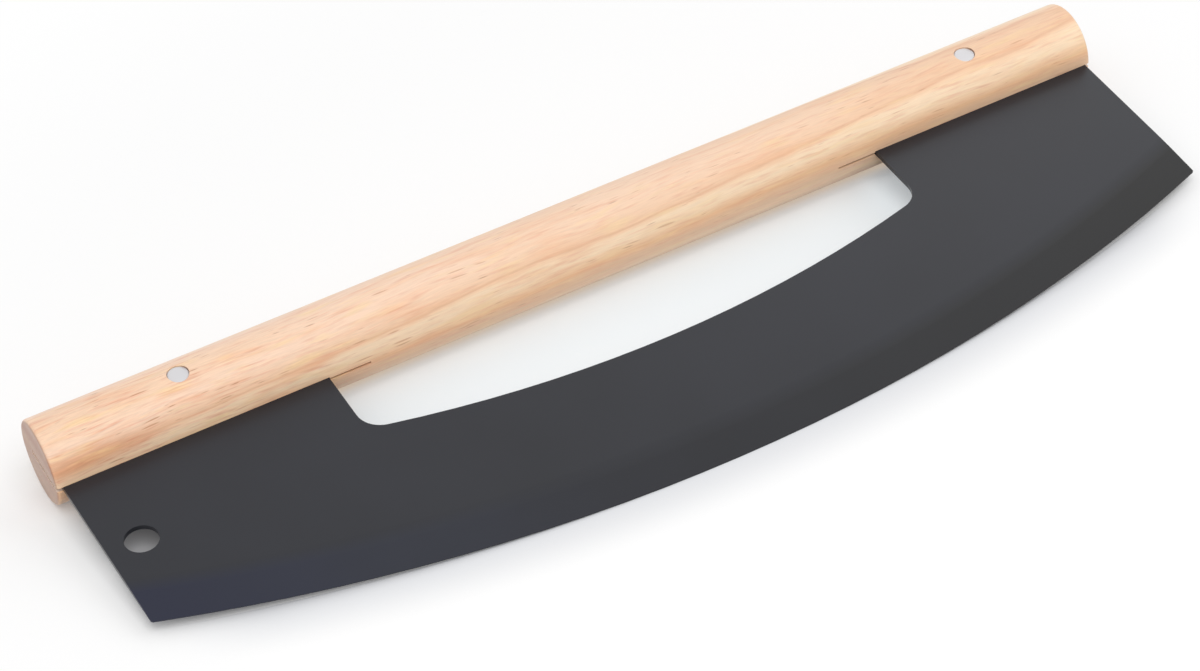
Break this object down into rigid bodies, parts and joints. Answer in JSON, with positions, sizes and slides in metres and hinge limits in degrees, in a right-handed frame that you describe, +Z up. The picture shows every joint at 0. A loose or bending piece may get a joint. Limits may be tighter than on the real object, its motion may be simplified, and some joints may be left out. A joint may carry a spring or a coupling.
{
  "type": "rocking pizza knife",
  "caption": "Two-handed rocker knife: a round wooden handle over a dark sheet-steel blade with a finger gap, a curved edge and a hang hole.",
  "frame": {"origin": "middle of the bottom of the whole knife as it lies, on the table", "axes": "+Z up from the table, X along the handle with the hang hole at -X, blade towards -Y"},
  "size_m": [0.35, 0.1126, 0.026],
  "materials": {
    "handle_wood": "sanded, lightly oiled",
    "blade_coat": "matte non-stick coat",
    "rivet_metal": "satin"
  },
  "bodies": {
    "root": {"handle": "handle_wood", "blade": "blade_coat", "rivet_tube_left": "rivet_metal", "rivet_pin_left": "rivet_metal", "rivet_tube_right": "rivet_metal", "rivet_pin_right": "rivet_metal"}
  },
  "joints": []
}
